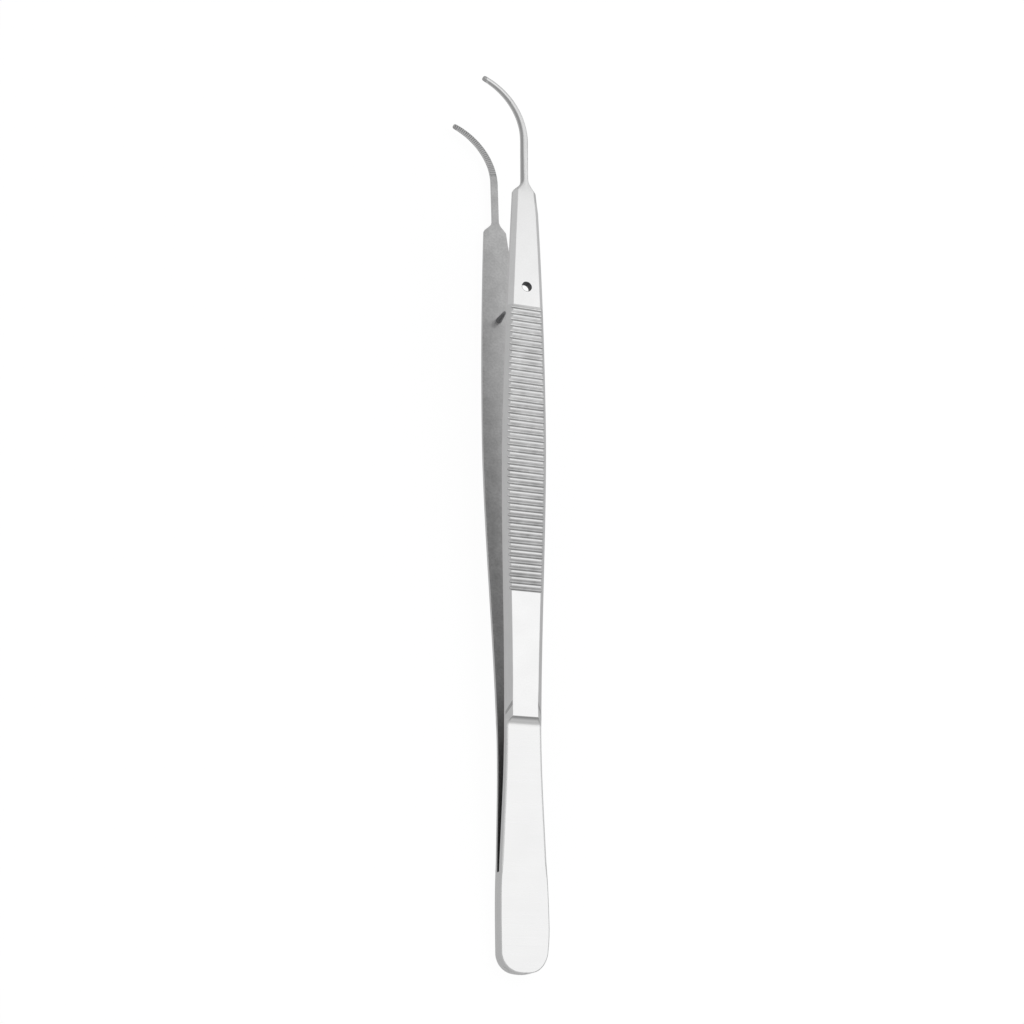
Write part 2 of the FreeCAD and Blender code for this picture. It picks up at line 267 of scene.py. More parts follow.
# The pin, turned from darker hard steel: short, faint streaks along it
PIN_FACE = SteelFinish(
    "turned_hard_steel_pin", "#8C8C8E", roughness=0.30, grain=Grain.ACROSS, grain_mm=0.08,
    roughness_swing=0.06, shade_swing=0.08, relief_mm=0.0015, blotch_mm=1.5, blotch_swing=0.04)
# The guide hole's wall, drilled, in a dark grey that is painted shade inside the hole
BORE_SHADE_FACE = SteelFinish(
    "drilled_stainless_steel_bore_painted_shade", "#606062", roughness=0.45, grain=Grain.BLASTED, grain_mm=0.12,
    roughness_swing=0.06, shade_swing=0.10, relief_mm=0.0020, blotch_mm=1.0, blotch_swing=0.04)


class Surface(Enum):
    """The faces of an arm that are finished apart, each with its finish, in the order of their slots."""

    HEEL = HEEL_FACE
    BLADE = BLADE_FACE
    GRIP = GRIP_FACE
    EDGE = EDGE_FACE
    INNER = INNER_FACE
    BORE = BORE_SHADE_FACE
    GROOVE = GROOVE_FACE
    RAMP = RAMP_FACE
    DULL = GROOVE_SHADE_FACE
    TIP = TIP_SHADE_FACE


# How far a face's normal points outwards: on the inner side it is under FACES_IN, or under FACES_FLAT_IN
# where no tooth's side tilts it. A side wall's is up to FACES_SIDE and a flat outer face's over FACES_OUT
FACES_FLAT_IN, FACES_IN, FACES_SIDE, FACES_OUT = -0.9, -0.6, 0.2, 0.7
# How far across the arm the normal of a groove's wall and of the ramp may point, short of the bevels'
GROOVE_SKEW, RAMP_SKEW = 0.5, 0.3


@dataclass(frozen=True)
class ForcepsSizes:
    """The forceps' own sizes in millimetres, and what follows from them."""

    overall_length: float = 178.0
    weld_length: float = 17.8
    root_gap: float = 0.5
    leaf_angle: float = 2.66
    spring_angle: float = 3.7
    tip_angle: float = 2.3
    set_length: float = 32.8
    set_radius: float = 1000.0
    leaf_thickness: float = 1.1
    leaf_bend_radius: float = 200.0
    heel_width: float = 9.35
    heel_widest: float = 8.0
    heel_end_radius: float = 9.0
    heel_corner_radius: float = 3.6
    waist_width: float = 7.1
    step: float = 45.8
    step_radius: float = 2.0
    blade_thickness: float = 1.95
    blade_width: float = 8.86
    bevel_width: float = 1.04
    side_height: float = 0.78
    runout_length: float = 4.0
    edge_break: float = 0.15
    shoulder_width: float = 5.2
    shoulder_thickness: float = 1.55
    shoulder_bevel: float = 0.82
    shoulder_radius: float = 0.7
    neck_fillet: float = 2.2
    neck_length: float = 12.1
    neck_width: float = 1.48
    neck_thickness: float = 1.2
    neck_bevel: float = 0.33
    neck_side: float = 0.6
    tip_width: float = 1.0
    tip_thickness: float = 0.85
    tip_bevel: float = 0.28
    tip_side: float = 0.35
    tip_bend_radius: float = 14.0
    tip_bend_angle: float = 67.0
    groove_count: int = 45
    groove_pitch: float = 1.3
    groove_mouth: float = 0.95
    groove_floor: float = 0.25
    groove_depth: float = 0.38
    grip_margin: float = 4.7
    toothed_length: float = 14.6
    tooth_pitch: float = 0.45
    tooth_depth: float = 0.12
    guide_setback: float = 20.9
    pin_diameter: float = 1.3
    pin_end_diameter: float = 0.7
    pin_length: float = 3.7
    pin_clearance: float = 0.3
    hole_edge_break: float = 0.12

    @property
    def tip_turn(self) -> float:
        """The tip's whole bend in radians."""
        return math.radians(self.tip_bend_angle)

    @property
    def bend_start(self) -> float:
        """Where the tip's bend begins."""
        reach = self.tip_width / 2 * math.cos(self.tip_turn)
        return self.overall_length - reach - self.tip_bend_radius * math.sin(self.tip_turn)

    @property
    def shoulder(self) -> float:
        """Where the blade ends in its shoulders."""
        return self.bend_start - self.neck_length

    @property
    def tip_reach(self) -> float:
        """How far the tip's bend carries it towards -x."""
        return self.tip_bend_radius * (1 - math.cos(self.tip_turn))

    @property
    def guide(self) -> float:
        """The middle of the guide pin and hole."""
        return self.shoulder - self.guide_setback

    @property
    def grip_end(self) -> float:
        """The middle of the groove nearest the tips."""
        return self.guide - self.grip_margin

    @property
    def grip_start(self) -> float:
        """The middle of the groove nearest the heel."""
        return self.grip_end - self.groove_pitch * (self.groove_count - 1)

    @property
    def heel_thickness(self) -> float:
        """Thickness of one arm over the weld."""
        return self.root_gap + self.leaf_thickness

    @property
    def ramp_turn(self) -> float:
        """Angle at which the hollow ramp meets the step's top edge."""
        return math.acos(1 - (self.blade_thickness - self.leaf_thickness) / self.step_radius)

    @property
    def ramp_start(self) -> float:
        """Where the ramp leaves the leaf."""
        return self.step - self.step_radius * math.sin(self.ramp_turn)

    def gap(self, y: float) -> float:
        """Height of an arm's inner face above the middle plane.

        Args:
            y: Distance from the heel end.

        Returns:
            The height.
        """
        if y <= self.weld_length:
            return 0.0
        slope = math.tan(math.radians(self.spring_angle))
        set_start = self.shoulder - self.set_length
        set_end = set_start + self.set_radius * math.radians(self.spring_angle - self.tip_angle)
        leaf_reach = min(y, self.step) - self.weld_length
        leaf = self.root_gap + math.tan(math.radians(self.leaf_angle)) * leaf_reach
        straight = slope * max(min(y, set_start) - self.step, 0.0)
        if y <= set_start:
            return leaf + straight
        turned = (min(y, set_end) - set_start) / self.set_radius
        bent = turned * (slope * self.set_radius - turned * self.set_radius / 2)
        return leaf + straight + bent + math.tan(math.radians(self.tip_angle)) * max(y - set_end, 0.0)

    def half_width(self, y: float) -> float:
        """Half the arm's width, from the heel's widest place to the shoulder.

        Args:
            y: Distance from the heel end.

        Returns:
            The half width.
        """
        widest = (self.grip_start + self.grip_end) / 2
        if y <= self.heel_widest:
            return self.heel_width / 2
        if y <= self.ramp_start:
            share = (y - self.heel_widest) / (self.ramp_start - self.heel_widest)
            return blend(self.heel_width, self.waist_width, ease(share)) / 2
        if y <= widest:
            share = (y - self.ramp_start) / (widest - self.ramp_start)
            return blend(self.waist_width, self.blade_width, ease(share)) / 2
        share = (y - widest) / (self.shoulder - widest)
        return blend(self.blade_width, self.shoulder_width, share ** 1.5) / 2

    def leaf_height(self, y: float) -> float:
        """Thickness of the leaf, whose outer face bends round the root of the slit.

        Args:
            y: Distance from the heel end.

        Returns:
            The thickness.
        """
        reach = self.leaf_bend_radius * math.tan(math.radians(self.leaf_angle) / 2)
        start = self.weld_length - reach
        if y <= start:
            return self.heel_thickness
        if y >= self.weld_length + reach:
            return self.leaf_thickness
        rise = self.leaf_bend_radius - math.sqrt(self.leaf_bend_radius ** 2 - (y - start) ** 2)
        return self.heel_thickness + rise - self.gap(y)

    def blade_height(self, y: float) -> float:
        """Thickness of the blade, which thins from the grip to the shoulders."""
        share = max(y - self.grip_start, 0.0) / (self.shoulder - self.grip_start)
        return blend(self.blade_thickness, self.shoulder_thickness, share)

    @property
    def rest_tilt(self) -> float:
        """Angle in radians that lays the heel end and the pinned arm's outermost place on one plane."""
        places = range(int(self.step) + 1, int(self.shoulder))
        return max(math.atan2(self.gap(y) + self.blade_height(y) - self.heel_thickness, y) for y in places)


@dataclass(frozen=True)
class Ring:
    """One cross section of an arm, square to a centre line that turns towards -x.

    top_y and top_half give the outer face's edge where it isn't straight above the side wall. arch is 0
    for a flat outer face and 1 for a round one, roll is 0 for a flat bevel and 1 for a rounded edge,
    notch is how deep a tooth is cut into the inner face, inner_break is the broken edge round that face,
    and tuck is the share by which the +x side is drawn in.
    """

    y: float
    half: float
    bevel: float
    side: float
    height: float
    x: float = 0.0
    turn: float = 0.0
    top_y: float | None = None
    top_half: float | None = None
    arch: float = 0.0
    roll: float = 0.0
    notch: float = 0.0
    inner_break: float = INNER_BREAK
    tuck: float = 0.0

    def corners(self, gap: Callable[[float], float]) -> list[Vector]:
        """Places the ring's corners, from the middle of the inner face round by +x.

        Args:
            gap: Gives the inner face's height at a distance from the heel end.

        Returns:
            Fourteen corners.
        """
        top_half = self.half - self.bevel if self.top_half is None else self.top_half
        lead = 0.0 if self.top_y is None else self.top_y - self.y
        soft = min(SOFT_EDGE, top_half * 0.1)
        wall = self.height - self.side
        span = math.hypot(self.half - top_half, wall) or 1.0
        slip = blend(min(soft / span, 0.3), 0.5, self.roll)
        bulge = 0.2 * self.roll
        flat = [(self.half, self.side, 0.0),
                (blend(top_half, self.half, slip + bulge), blend(self.height, self.side, slip - bulge),
                 1 - slip),
                (top_half - soft, self.height, 1.0),
                (top_half - soft * 3, self.height, 1.0),
                (0.0, self.height, 1.0)]
        arched = [(self.half * across, self.side + wall * up, 0.0) for across, up in ROUND_FACE]
        upper = [(blend(a[0], b[0], self.arch), blend(a[1], b[1], self.arch), a[2])
                 for a, b in zip(flat, arched)]
        edge = self.inner_break
        lower = [(0.0, self.notch, 0.0), (self.half - edge, self.notch, 0.0),
                 (self.half, max(edge, self.notch), 0.0)]
        section = lower + upper
        left = [(-across, up, ahead) for across, up, ahead in reversed(section[1:-1])]
        right = [(across * (1 - self.tuck), up, ahead) for across, up, ahead in section]
        base = gap(self.y)
        turned = (math.cos(self.turn), math.sin(self.turn))
        return [Vector((self.x + across * turned[0], self.y + across * turned[1] + lead * ahead, base + up))
                for across, up, ahead in right + left]


def only(piece: bpy.types.Object) -> None:
    """Deselects everything, then selects one object and makes it active.

    Args:
        piece: The object.
    """
    bpy.ops.object.select_all(action="DESELECT")
    piece.select_set(True)
    bpy.context.view_layer.objects.active = piece


@dataclass
class Bench:
    """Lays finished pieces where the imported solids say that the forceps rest."""

    sizes: ForcepsSizes
    place: Matrix = field(init=False)

    def __post_init__(self) -> None:
        """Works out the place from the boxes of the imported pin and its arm."""
        low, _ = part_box("pinned_arm")
        pin_low, pin_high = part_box("guide_pin")
        tilt = self.sizes.rest_tilt
        rise = self.sizes.heel_thickness * METRES * math.cos(tilt)
        corner = Vector(((pin_low.x + pin_high.x) / 2, low.y, rise))
        turn = Matrix.Rotation(tilt, 4, "X")
        self.place = Matrix.Translation(corner) @ turn @ Matrix.Scale(METRES, 4)

    def lay(self, piece: bpy.types.Object, node: str, slot: str) -> None:
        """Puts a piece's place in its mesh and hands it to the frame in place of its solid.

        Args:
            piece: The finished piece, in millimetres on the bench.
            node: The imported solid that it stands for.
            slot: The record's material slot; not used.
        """
        piece.data.transform(self.place)
        piece.data.update()
        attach(piece, BODY)
        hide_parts(node)
        LOG.info("%s: %d faces in place of %s", piece.name, len(piece.data.polygons), node)


@dataclass
class GuideCutter:
    """A cutter for a round bore square to the inner face, with a widened mouth on the outer face."""

    sizes: ForcepsSizes
    radius: float
    mouth: float
    reach: float = 3.0
    corners: int = 48

    def frame(self) -> Matrix:
        """Foot of the bore on the inner face, with z along the bore and out of the arm.

        Returns:
            The place, in millimetres on the bench.
        """
        guide = self.sizes.guide
        slope = self.sizes.gap(guide + 0.5) - self.sizes.gap(guide - 0.5)
        foot = Matrix.Translation((0.0, guide, self.sizes.gap(guide)))
        return foot @ Matrix.Rotation(math.atan(slope), 4, "X")

    def cut(self, piece: bpy.types.Object) -> None:
        """Cuts the bore out of a piece.

        Args:
            piece: The arm, in millimetres on the bench.
        """
        face = self.sizes.blade_height(self.sizes.guide)
        bpy.ops.object.select_all(action="DESELECT")
        bpy.ops.mesh.primitive_cylinder_add(vertices=self.corners, radius=self.radius, depth=self.reach,
                                            location=(0, 0, face - self.mouth - self.reach / 2))
        cutter = bpy.context.object
        bpy.ops.object.transform_apply(location=True, rotation=True, scale=True)
        bpy.ops.object.mode_set(mode="EDIT")
        mesh = bmesh.from_edit_mesh(cutter.data)
        for part in mesh.faces:
            part.select = part.normal.z > 0.9
        bmesh.update_edit_mesh(cutter.data)
        wide = (self.radius + 2 * self.mouth) / self.radius
        middle = (0, 0, face + self.mouth)
        bpy.ops.mesh.extrude_region_move(TRANSFORM_OT_translate={"value": (0, 0, 2 * self.mouth)})
        bpy.ops.transform.resize(value=(wide, wide, 1), center_override=middle)
        bpy.ops.mesh.extrude_region_move(TRANSFORM_OT_translate={"value": (0, 0, self.reach)})
        bpy.ops.object.mode_set(mode="OBJECT")
        cutter.data.transform(self.frame())
        # The bore's wall takes the bore finish, painted shade
        cutter.data.materials.append(bpy.data.materials[BORE_SHADE_FACE.name])
        only(piece)
        modifier = piece.modifiers.new("bore", "BOOLEAN")
        modifier.operation = "DIFFERENCE"
        modifier.solver = "EXACT"
        modifier.object = cutter
        bpy.ops.object.modifier_apply(modifier=modifier.name)
        bpy.data.objects.remove(cutter)


@dataclass
class Arm:
    """One forged arm: heel leaf, bevelled blade with its grooved grip, shoulders and toothed tip.

    It is drawn out of its heel end ring by ring, as a smith draws out a bar.

    groove_round rounds the grooves' lips and floor. weld_break is the edge that is left where the arms
    meet over the weld, and leaf_edge is the leaf's rolled edge, which sets in over roll_in each side of
    the slit's root. heel_tuck and shoulder_tuck are the shares by which the +x side is drawn in at the
    heel's corner and at the shoulder, from tuck_before it to tuck_past it. tooth_flat is the share of a
    tooth that stays flat, and tip_end_shade is the length of the tip's end that is painted darker as shade.
    The bevels run out on a line that leans by runout_lean over their width, and runout_strip is where,
    past that line, a strip takes the darkened groove finish as a painted line of shade. Short of the line
    the side stands out by proud. Each entry of runout is a ring: its foot past the step, the share of
    proud that is left there, and how far its top edge lags.
    neck_arch is how round the neck's outer face is.
    """

    sizes: ForcepsSizes
    groove_round: float = 0.06
    weld_break: float = 0.004
    leaf_edge: float = 0.42
    roll_in: float = 2.5
    heel_tuck: float = 0.13
    shoulder_tuck: float = 0.11
    tuck_before: float = 4.5
    tuck_past: float = 2.6
    proud: float = 0.06
    neck_arch: float = 0.15
    tooth_flat: float = 0.5
    tip_end_shade: float = 0.25
    runout_lean: float = 1.75
    runout_strip: tuple[float, float] = (0.3, 1.0)
    runout: tuple[tuple[float, float, float], ...] = (
        (0.0, 1.0, 0.05), (0.35, 1.0, 1.75), (0.65, 0.0, 1.85), (1.0, 0.0, 2.05))
    rings: list[Ring] = field(default_factory=list)

    def heel_rings(self) -> list[Ring]:
        """Rings round the heel's end: a shallow end arc and then the corner arcs.

        Returns:
            The rings, from the heel's end to its full width.
        """
        s = self.sizes
        made = []
        inner = s.heel_end_radius - s.heel_corner_radius
        lean = math.asin((s.heel_width / 2 - s.heel_corner_radius) / inner)
        corner_x = s.heel_width / 2 - s.heel_corner_radius
        corner_y = s.heel_end_radius - inner * math.cos(lean)
        nose = [lean * share for share in (0.05, 0.3, 0.6, 1.0)]
        arcs = [(0.0, s.heel_end_radius, s.heel_end_radius, turn) for turn in nose]
        arcs += [(corner_x, corner_y, s.heel_corner_radius, turn) for turn in steps(lean, math.pi / 2, 12)]
        for x, y, radius, turn in arcs:
            short = radius - s.edge_break
            made.append(Ring(y - radius * math.cos(turn), x + radius * math.sin(turn), s.edge_break,
                             s.heel_thickness - s.edge_break, s.heel_thickness,
                             top_y=y - short * math.cos(turn), top_half=x + short * math.sin(turn),
                             inner_break=self.weld_break))
        return made

    def leaf_rings(self) -> list[Ring]:
        """Rings along the flat spring leaf, with a pair of them at the blunt root of the slit.

        Returns:
            The rings, from the heel to the foot of the ramp.
        """
        s = self.sizes
        start = self.rings[-1].y
        made = []
        root = s.weld_length
        for y in steps(start, root, 10) + [root + 0.01] + steps(root + 0.01, s.ramp_start, 14):
            height = s.leaf_height(y)
            share = min(max((y - root + self.roll_in) / (2 * self.roll_in), 0.0), 1.0)
            edge = blend(s.edge_break, self.leaf_edge, ease(share))
            made.append(Ring(y, s.half_width(y), edge, height - edge, height, roll=ease(share),
                             inner_break=self.weld_break if y <= root else INNER_BREAK))
        return made

    def step_rings(self) -> list[Ring]:
        """The hollow ramp up to the blade, and the place where the bevels run out.

        Returns:
            The rings, from the ramp's foot to the blade.
        """
        s = self.sizes
        made = []
        top = s.leaf_thickness - self.leaf_edge
        proud = s.side_height + self.proud
        for share in steps(0, 1, 7):
            turn = s.ramp_turn * share
            y = s.ramp_start + s.step_radius * math.sin(turn)
            height = s.leaf_thickness + s.step_radius * (1 - math.cos(turn))
            made.append(Ring(y, s.half_width(y), blend(self.leaf_edge, s.bevel_width, share),
                             blend(top, proud, share), height, roll=1 - share))
        for foot, rise, lag in self.runout:
            y = s.step + 0.05 + foot
            made.append(Ring(y, s.half_width(y), s.bevel_width, blend(s.side_height, proud, rise),
                             s.blade_thickness, top_y=y + lag))
        return made

    def blade_ring(self, y: float, depth: float = 0.0) -> Ring:
        """A ring of the blade, with the outer face lowered inside a groove.

        Args:
            y: Distance from the heel end.
            depth: How far the groove is cut below the face there.

        Returns:
            The ring, whose bevel keeps its plane.
        """
        s = self.sizes
        start = s.step + s.runout_length
        bevel = blend(s.bevel_width, s.shoulder_bevel, (y - start) / (s.shoulder - start))
        full = s.blade_height(y)
        left = (full - depth - s.side_height) / (full - s.side_height)
        return Ring(y, s.half_width(y), bevel * left, s.side_height, full - depth)

    def groove_profile(self) -> list[tuple[float, float]]:
        """Shape of a groove with rounded lips and floor.

        Returns:
            Distances from the groove's middle along the arm, each with the depth there.
        """
        s = self.sizes
        lip = s.groove_mouth / 2
        floor = s.groove_floor / 2
        soft = self.groove_round
        run = lip - floor
        fall = s.groove_depth
        half = [(lip + soft, 0.0), (lip, soft * 0.35), (lip - soft, soft * fall / run),
                (floor + soft * 0.4, fall * 0.93), (0.0, fall)]
        return [(-away, deep) for away, deep in half[:-1]] + list(reversed(half))

    def blade_rings(self) -> list[Ring]:
        """Rings of the blade, with nine at each groove.

        Returns:
            The rings, from the step to the shoulders.
        """
        s = self.sizes
        made = []
        profile = self.groove_profile()
        reach = profile[-1][0]
        plain_start = s.step + s.runout_length + 0.03
        support = 0.08
        made += [self.blade_ring(y) for y in steps(plain_start, s.grip_start - reach - support, 8)]
        for index in range(s.groove_count):
            middle = s.grip_start + s.groove_pitch * index
            made += [self.blade_ring(middle + away, deep) for away, deep in profile]
        grip_edge = s.grip_end + reach + support
        made += [self.blade_ring(y) for y in [grip_edge] + steps(grip_edge, s.shoulder, 12)]
        return made

    def shoulder_rings(self) -> list[Ring]:
        """Rounded shoulders, a slope at 45 degrees and a hollow into the neck.

        Returns:
            The rings, from the blade to the neck.
        """
        s = self.sizes
        eighth = math.radians(45)
        profile = []
        for turn in steps(0, eighth, 5):
            profile.append((s.shoulder + s.shoulder_radius * math.sin(turn),
                            s.shoulder_width / 2 - s.shoulder_radius * (1 - math.cos(turn))))
        y, half = profile[-1]
        hollow = s.neck_width / 2 + s.neck_fillet * (1 - math.cos(eighth))
        start = y + half - hollow
        profile += [(blend(y, start, share), blend(half, hollow, share)) for share in (0.35, 0.7, 1.0)]
        for turn in steps(eighth, 0, 7):
            profile.append((start + s.neck_fillet * (math.sin(eighth) - math.sin(turn)),
                            s.neck_width / 2 + s.neck_fillet * (1 - math.cos(turn))))
        made = []
        for y, half in profile:
            share = (s.shoulder_width / 2 - half) / (s.shoulder_width / 2 - s.neck_width / 2)
            made.append(Ring(y, half, blend(s.shoulder_bevel, s.neck_bevel, share),
                             blend(s.side_height, s.neck_side, share), self.neck_height(y),
                             arch=self.neck_arch * share))
        return made

    def neck_height(self, y: float) -> float:
        """Thickness past the shoulders, where the outer face slopes evenly down to the tip's bend.

        Args:
            y: Distance from the heel end.

        Returns:
            The thickness.
        """
        s = self.sizes
        share = (y - s.shoulder) / (s.bend_start - s.shoulder)
        return blend(s.shoulder_thickness, s.neck_thickness, share)

    def tip_ring(self, share: float, notch: float, ahead: float = 0.0, narrow: float = 1.0) -> Ring:
        """A ring of the curved tip.

        Args:
            share: Share of the bend, from its start.
            notch: Depth of a tooth's valley there.
            ahead: How far past the end of the bend it lies.
            narrow: What is left of its width in the round end.

        Returns:
            The ring.
        """
        s = self.sizes
        turn = s.tip_turn * share
        x = -s.tip_bend_radius * (1 - math.cos(turn)) - ahead * math.sin(turn)
        y = s.bend_start + s.tip_bend_radius * math.sin(turn) + ahead * math.cos(turn)
        height = blend(s.neck_thickness, s.tip_thickness, share)
        round_off = blend(0.7, 1.0, narrow)
        return Ring(y, blend(s.neck_width, s.tip_width, share) / 2 * narrow,
                    blend(s.neck_bevel, s.tip_bevel, share) * narrow,
                    blend(s.neck_side, s.tip_side, share) * round_off, height * round_off, x, turn,
                    arch=blend(self.neck_arch, 1.0, max(share * 1.6 - 0.6, 0.0)), notch=notch,
                    inner_break=0.03)

    def tip_rings(self) -> list[Ring]:
        """The neck, the bend with rings at each tooth's flat crest and its valley, and the round end.

        Returns:
            The rings, from the shoulders to the tip's end.
        """
        s = self.sizes
        neck_end = self.rings[-1].y
        made = [Ring(y, s.neck_width / 2, s.neck_bevel, s.neck_side, self.neck_height(y),
                     arch=self.neck_arch) for y in steps(neck_end, s.bend_start, 5)]
        bend_length = s.tip_bend_radius * s.tip_turn
        count = int(s.toothed_length / s.tooth_pitch)
        toothed = (count - 0.5) * s.tooth_pitch
        plain = 1 - toothed / bend_length
        made += [self.tip_ring(share, 0.0) for share in steps(0, plain, 4)]
        for index in range(count):
            valley = 1 - (count - 1 - index) * s.tooth_pitch / bend_length
            made.append(self.tip_ring(valley, s.tooth_depth))
            if index < count - 1:
                made += [self.tip_ring(valley + s.tooth_pitch * along / bend_length, 0.0)
                         for along in (0.5 - self.tooth_flat / 2, 0.5 + self.tooth_flat / 2)]
        end_round = s.tip_width / 2
        for share in (0.3, 0.55, 0.75, 0.9, 0.98):
            made.append(self.tip_ring(1.0, 0.0, end_round * share, math.sqrt(1 - share ** 2)))
        return made

    def tuck(self, y: float) -> float:
        """Share by which the +x side is drawn in, at the heel's rounder corner and the softer shoulder.

        Args:
            y: Distance from the heel end.

        Returns:
            The share of the half width.
        """
        s = self.sizes
        reach = self.tuck_before if y < s.shoulder else self.tuck_past
        heel = self.heel_tuck * ease(max(1 - y / s.heel_widest, 0.0))
        return heel + self.shoulder_tuck * ease(max(1 - abs(y - s.shoulder) / reach, 0.0))

    def draw_out(self, name: str) -> bpy.types.Object:
        """Extrudes a closed bar through all the rings.

        Args:
            name: The piece's name.

        Returns:
            The arm in millimetres on the bench, above the middle plane.
        """
        self.rings = self.heel_rings()
        for stretch in (self.leaf_rings, self.step_rings, self.blade_rings, self.shoulder_rings,
                        self.tip_rings):
            self.rings += stretch()
        self.rings = [replace(ring, tuck=self.tuck(ring.y)) for ring in self.rings]
        loops = [ring.corners(self.sizes.gap) for ring in self.rings]
        bpy.ops.object.select_all(action="DESELECT")
        bpy.ops.mesh.primitive_circle_add(vertices=len(loops[0]), radius=1, fill_type="NGON")
        arm = bpy.context.object
        arm.name = name
        bpy.ops.object.mode_set(mode="EDIT")
        mesh = bmesh.from_edit_mesh(arm.data)
        mesh.verts.ensure_lookup_table()
        corner = mesh.verts.layers.int.new("corner")
        for index, point in enumerate(mesh.verts):
            point[corner] = index
        self.set_loop(arm, loops[0])
        for loop in loops[1:]:
            bpy.ops.mesh.extrude_region_move(TRANSFORM_OT_translate={"value": (0, 1, 0)})
            self.set_loop(arm, loop)
        bpy.ops.mesh.select_all(action="SELECT")
        bpy.ops.mesh.normals_make_consistent(inside=False)
        bpy.ops.object.mode_set(mode="OBJECT")
        return arm

    @staticmethod
    def set_loop(arm: bpy.types.Object, loop: Sequence[Vector]) -> None:
        """Moves the selected corners of the bar's end onto a ring.

        Args:
            arm: The arm in edit mode, with its end selected.
            loop: The ring's corners.
        """
        mesh = bmesh.from_edit_mesh(arm.data)
        corner = mesh.verts.layers.int["corner"]
        for point in mesh.verts:
            if point.select:
                point.co = loop[point[corner]]
        bmesh.update_edit_mesh(arm.data)

    def surface_at(self, middle: Vector, normal: Vector) -> Surface:
        """Says which surface of the arm a face belongs to, by its place and normal.

        Args:
            middle: The face's middle, in millimetres on the bench.
            normal: The face's normal.

        Returns:
            The surface.
        """
        s = self.sizes
        # The tip's end, the sides of its teeth and the necks' bevels take the tip finish, which is painted
        # shade
        if middle.x < self.tip_end_shade - s.tip_reach:
            return Surface.TIP
        if normal.z < FACES_IN:
            tooth = middle.y > s.bend_start and normal.z > FACES_FLAT_IN
            return Surface.TIP if tooth else Surface.INNER
        margin = s.groove_mouth / 2 + self.groove_round
        if s.grip_start - margin < middle.y < s.grip_end + margin and abs(normal.x) < GROOVE_SKEW:
            return self.grip_surface_at(middle)
        if abs(normal.x) < RAMP_SKEW and s.ramp_start < middle.y < s.step + 0.1:
            return Surface.RAMP
        if normal.z > FACES_OUT:
            return Surface.HEEL if middle.y < s.step else Surface.BLADE
        if normal.z <= FACES_SIDE:
            return Surface.EDGE
        if middle.y > s.shoulder + s.neck_fillet:
            return Surface.TIP
        # Past the bevels' run-out line a strip takes the groove finish, whose darkening there paints a line
        # of shade
        inset = (s.half_width(middle.y) - abs(middle.x)) / s.bevel_width
        past = middle.y - s.step - self.runout_lean * inset
        start, end = self.runout_strip
        return Surface.GROOVE if start < past < end else Surface.EDGE

    def grip_surface_at(self, middle: Vector) -> Surface:
        """Tells a groove's crest, its half towards the heel that takes painted shade, and the rest of it
        apart.

        Args:
            middle: The face's middle, in millimetres on the bench.

        Returns:
            The surface.
        """
        s = self.sizes
        if middle.z > s.gap(middle.y) + s.blade_height(middle.y) - s.groove_depth / 5:
            return Surface.GRIP
        past = (middle.y - s.grip_start) / s.groove_pitch
        # Painted shade on the half of the groove towards the heel
        return Surface.DULL if past < round(past) else Surface.GROOVE

    def finish(self, arm: bpy.types.Object) -> None:
        """Gives each surface its finish and shades the arm.

        Args:
            arm: The arm in millimetres on the bench, above the middle plane.
        """
        only(arm)
        for surface in Surface:
            finish = surface.value
            arm.data.materials.append(bpy.data.materials.get(finish.name) or finish.material())
        bpy.ops.object.mode_set(mode="EDIT")
        for slot, surface in enumerate(Surface):
            mesh = bmesh.from_edit_mesh(arm.data)
            for face in mesh.faces:
                face.select = self.surface_at(face.calc_center_median(), face.normal) is surface
            bmesh.update_edit_mesh(arm.data)
            arm.active_material_index = slot
            bpy.ops.object.material_slot_assign()
        bpy.ops.object.mode_set(mode="OBJECT")
        bpy.ops.object.shade_smooth_by_angle(angle=SMOOTH_ANGLE)

    def turn_over(self, arm: bpy.types.Object, name: str) -> bpy.types.Object:
        """Copies the arm to the other side of the middle plane, with its own mesh.

        Args:
            arm: The first arm, before its bore.
            name: The copy's name.

        Returns:
            The second arm, with its faces still pointing outwards.
        """
        only(arm)
        bpy.ops.object.duplicate()
        copy = bpy.context.object
        copy.name = name
        bpy.ops.object.mode_set(mode="EDIT")
        bpy.ops.mesh.select_all(action="SELECT")
        bpy.ops.transform.resize(value=(1, 1, -1), center_override=(0, 0, 0))
        bpy.ops.mesh.normals_make_consistent(inside=False)
        bpy.ops.object.mode_set(mode="OBJECT")
        return copy


